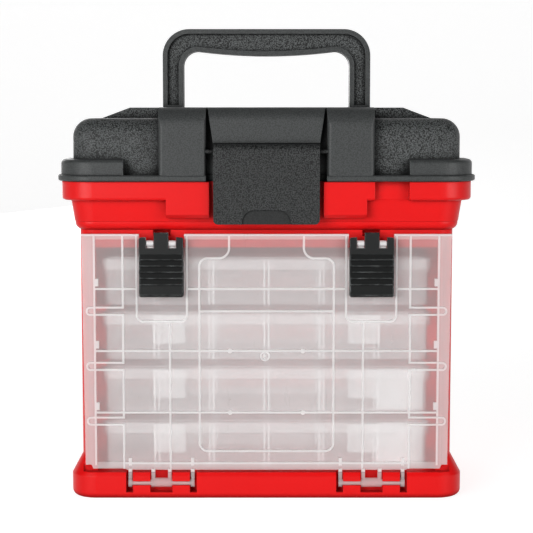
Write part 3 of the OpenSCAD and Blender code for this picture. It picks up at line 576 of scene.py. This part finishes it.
class TACKLE_OT_gate_pip(Operator):
    """Adds the round pip inside the ring on the door, where the sheet was injected"""
    bl_idname = "tackle.gate_pip"
    bl_label = "Gate pip"

    def execute(self, context):
        marks = context.scene.tackle_marks
        radius, height = marks.pip_radius, marks.pip_height
        sheet = front_plane("door_panel")
        x, z = marks.pip_place
        root = 0.2 * MM
        bpy.ops.object.select_all(action="DESELECT")
        bpy.ops.mesh.primitive_cylinder_add(
            vertices=32, radius=radius, depth=height + root,
            location=(x, sheet + (root - height) / 2, z), rotation=(radians(90), 0, 0))
        pip = bpy.context.active_object
        pip.name = "gate_pip"
        bpy.ops.object.transform_apply(location=True, rotation=True, scale=True)
        front = sheet - height + 0.01 * MM
        bpy.ops.object.mode_set(mode="EDIT")
        bpy.ops.mesh.select_all(action="DESELECT")
        bpy.ops.mesh.select_mode(type="EDGE")
        pick_edges(pip, lambda a, b: max(a.y, b.y) < front)
        bpy.ops.mesh.bevel(offset=0.55 * radius, segments=5, affect="EDGES")
        bpy.ops.mesh.select_all(action="DESELECT")
        bpy.ops.mesh.select_mode(type="FACE")
        pick_faces(pip, lambda face: face.normal.y < -0.99)
        bpy.ops.mesh.inset(thickness=0.2 * radius, depth=-0.15 * radius)
        bpy.ops.object.mode_set(mode="OBJECT")
        bpy.ops.object.shade_smooth_by_angle(angle=radians(40))
        pip.data.materials.append(frame["nodes"]["door_panel"].material_slots[0].material)
        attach(pip, "door")
        return {"FINISHED"}


class TACKLE_OT_boxes(Operator):
    """Finishes the utility boxes, their snap latches and dividers"""
    bl_idname = "tackle.boxes"
    bl_label = "Utility boxes"

    def execute(self, context):
        finish = context.scene.tackle_finish
        tray = frosted("Box tray sheet", finish, finish.box_cover, fins=0.4)
        lid = frosted("Box lid sheet", finish, finish.box_cover + 0.06)
        latch = frosted("Box latch", finish, finish.box_cover + 0.16)
        divider = frosted("Divider sheet", finish, finish.box_cover - 0.08)
        for k in BOXES:
            dress(tray, f"box_tray_{k}")
            dress(lid, f"box_lid_{k}")
            dress(latch, f"box_latch_left_{k}", f"box_latch_right_{k}")
            dress(divider, f"dividers_{k}")
        return {"FINISHED"}


class TACKLE_OT_pins(Operator):
    """Finishes the steel pins of the lid's hinges"""
    bl_idname = "tackle.pins"
    bl_label = "Hinge pins"

    def execute(self, context):
        dress(pin_steel(context.scene.tackle_finish), "lid_hinge_pins")
        return {"FINISHED"}


def shown_rays(wires):
    """1 where the camera looks straight, through glass or in a mirror"""
    path = wires.add("ShaderNodeLightPath").outputs
    shown = wires.maths("MAXIMUM", path["Is Camera Ray"], path["Is Glossy Ray"])
    return wires.maths("MAXIMUM", shown, path["Is Transmission Ray"])


def aim(thing, target):
    """Turns a lamp towards a point"""
    thing.rotation_euler = (Vector(target) - thing.location).to_track_quat("-Z", "Y").to_euler()


class TACKLE_OT_studio(Operator):
    """Adds the floor, the lamps, the room light and the camera"""
    bl_idname = "tackle.studio"
    bl_label = "Studio"

    def execute(self, context):
        scene = context.scene
        studio = scene.tackle_studio
        self.floor()
        self.lamps(studio)
        self.room(scene, studio)
        self.camera(scene, studio)
        scene.view_settings.view_transform = "Standard"
        scene.cycles.transparent_max_bounces = 32
        return {"FINISHED"}

    def floor(self):
        """A pale floor that curves up to a wall behind the cabinet"""
        reach, wall_y, wall_h, turn, near = 4.0, 2.4, 3.0, 1.0, 0.01
        grey, glow = (0.42, 0.42, 0.42), 0.86
        bpy.ops.object.select_all(action="DESELECT")
        bpy.ops.mesh.primitive_plane_add(size=1, location=(0, 0, 0))
        sweep = bpy.context.active_object
        sweep.name = "studio_floor"
        bpy.ops.object.mode_set(mode="EDIT")
        bpy.ops.mesh.select_all(action="SELECT")
        bpy.ops.transform.resize(value=(2 * reach, wall_y + reach, 1))
        bpy.ops.transform.translate(value=(0, (wall_y - reach) / 2, 0))
        bpy.ops.mesh.select_all(action="DESELECT")
        bpy.ops.mesh.select_mode(type="EDGE")
        pick_edges(sweep, lambda a, b: min(a.y, b.y) > wall_y - near)
        bpy.ops.mesh.extrude_region_move(TRANSFORM_OT_translate={"value": (0, 0, wall_h)})
        bpy.ops.mesh.select_all(action="DESELECT")
        pick_edges(sweep, lambda a, b: min(a.y, b.y) > wall_y - near and max(a.z, b.z) < near)
        bpy.ops.mesh.bevel(offset=turn, segments=16, affect="EDGES")
        bpy.ops.object.mode_set(mode="OBJECT")
        bpy.ops.object.shade_smooth()
        pale = bpy.data.materials.new("Pale floor")
        pale.use_nodes = True
        wires = Wires(pale.node_tree)
        shown = shown_rays(wires)
        shader = wires.add("ShaderNodeBsdfPrincipled", {
            "Base Color": grey, "Roughness": 0.9, "Emission Color": (1, 1, 1),
            "Emission Strength": wires.maths("MULTIPLY", shown, glow)})
        wires.feed(wires.add("ShaderNodeOutputMaterial").inputs["Surface"], shader.outputs[0])
        sweep.data.materials.append(pale)

    def lamps(self, studio):
        """Large soft lamps at the front left, the front right, overhead and behind"""
        middle = (0, 0, 0.15)
        for name, power, size, place in (
                ("key_lamp", studio.key, 1.1, (-1.0, -1.6, 0.5)),
                ("fill_lamp", studio.fill, 0.9, (1.3, -1.3, 0.35)),
                ("top_lamp", studio.top, 1.2, (0.1, 0.5, 1.6)),
                ("back_lamp", studio.back, 1.0, (-0.5, 1.7, 0.4))):
            lamp = bpy.data.lights.new(name, "AREA")
            lamp.size = size
            lamp.energy = power
            holder = bpy.data.objects.new(name, lamp)
            holder.location = place
            holder.visible_camera = False
            aim(holder, middle)
            bpy.context.collection.objects.link(holder)

    def room(self, scene, studio):
        """Light from all round under a darker ceiling, shown as plain white"""
        world = bpy.data.worlds.new("Studio room")
        world.use_nodes = True
        wires = Wires(world.node_tree)
        direction = wires.add("ShaderNodeTexCoord").outputs["Generated"]
        height = wires.add("ShaderNodeSeparateXYZ", {"Vector": direction}).outputs["Z"]
        path = wires.add("ShaderNodeLightPath").outputs
        shown = wires.maths("MAXIMUM", path["Is Camera Ray"], path["Is Transmission Ray"])
        seen = wires.maths("MAXIMUM", path["Is Glossy Ray"], studio.sky)
        seen = wires.maths("MULTIPLY", seen, wires.spread(height, 0.02, 0.4, 1, studio.ceiling))
        strength = wires.maths("MAXIMUM", shown, seen)
        sky = wires.add("ShaderNodeBackground", {"Color": (1, 1, 1), "Strength": strength})
        wires.feed(wires.add("ShaderNodeOutputWorld").inputs["Surface"], sky.outputs[0])
        scene.world = world

    def camera(self, scene, studio):
        """The camera at the photograph's eye point"""
        lens = bpy.data.cameras.new("front_camera")
        lens.lens = studio.focal_length
        lens.sensor_width = 36
        eye = bpy.data.objects.new("front_camera", lens)
        eye.location = (0, -studio.eye_distance, studio.eye_height)
        eye.rotation_euler = (radians(90) - studio.tilt, 0, 0)
        bpy.context.collection.objects.link(eye)
        scene.camera = eye


def pick_edges(obj, wanted):
    """Selects the edges whose two ends pass a test, in edit mode"""
    bpy.ops.object.mode_set(mode="OBJECT")
    points = obj.data.vertices
    for edge in obj.data.edges:
        a, b = (points[i].co for i in edge.vertices)
        edge.select = bool(wanted(a, b))
    bpy.ops.object.mode_set(mode="EDIT")


def pick_faces(obj, wanted):
    """Selects the faces that pass a test, in edit mode"""
    bpy.ops.object.mode_set(mode="OBJECT")
    for face in obj.data.polygons:
        face.select = bool(wanted(face))
    bpy.ops.object.mode_set(mode="EDIT")


# ---------------------------------------------------------------- panel and run

STEPS = (TACKLE_OT_effects, TACKLE_OT_red_case, TACKLE_OT_black_lid, TACKLE_OT_door,
         TACKLE_OT_gate_pip, TACKLE_OT_boxes, TACKLE_OT_pins, TACKLE_OT_studio)


class TACKLE_PT_sidebar(Panel):
    """Lists the cabinet's settings and steps"""
    bl_label = "Tackle Cabinet"
    bl_idname = "TACKLE_PT_sidebar"
    bl_space_type = "VIEW_3D"
    bl_region_type = "UI"
    bl_category = "Tackle Cabinet"

    def draw(self, context):
        scene = context.scene
        for settings in (scene.tackle_finish, scene.tackle_marks, scene.tackle_studio):
            section = self.layout.box()
            for name in settings.__annotations__:
                section.prop(settings, name)
        for step in STEPS:
            self.layout.operator(step.bl_idname)


CLASSES = (FinishSettings, MarkSettings, StudioSettings, *STEPS, TACKLE_PT_sidebar)


def register():
    for item in CLASSES:
        bpy.utils.register_class(item)
    bpy.types.Scene.tackle_finish = PointerProperty(type=FinishSettings)
    bpy.types.Scene.tackle_marks = PointerProperty(type=MarkSettings)
    bpy.types.Scene.tackle_studio = PointerProperty(type=StudioSettings)


def unregister():
    del bpy.types.Scene.tackle_studio
    del bpy.types.Scene.tackle_marks
    del bpy.types.Scene.tackle_finish
    for item in reversed(CLASSES):
        bpy.utils.unregister_class(item)


def main():
    """Registers the add-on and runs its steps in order"""
    register()
    bpy.ops.object.select_all(action="DESELECT")
    bpy.ops.tackle.effects()
    bpy.ops.tackle.red_case()
    bpy.ops.tackle.black_lid()
    bpy.ops.tackle.door()
    bpy.ops.tackle.gate_pip()
    bpy.ops.tackle.boxes()
    bpy.ops.tackle.pins()
    bpy.ops.tackle.studio()


if __name__ == "__main__":
    main()
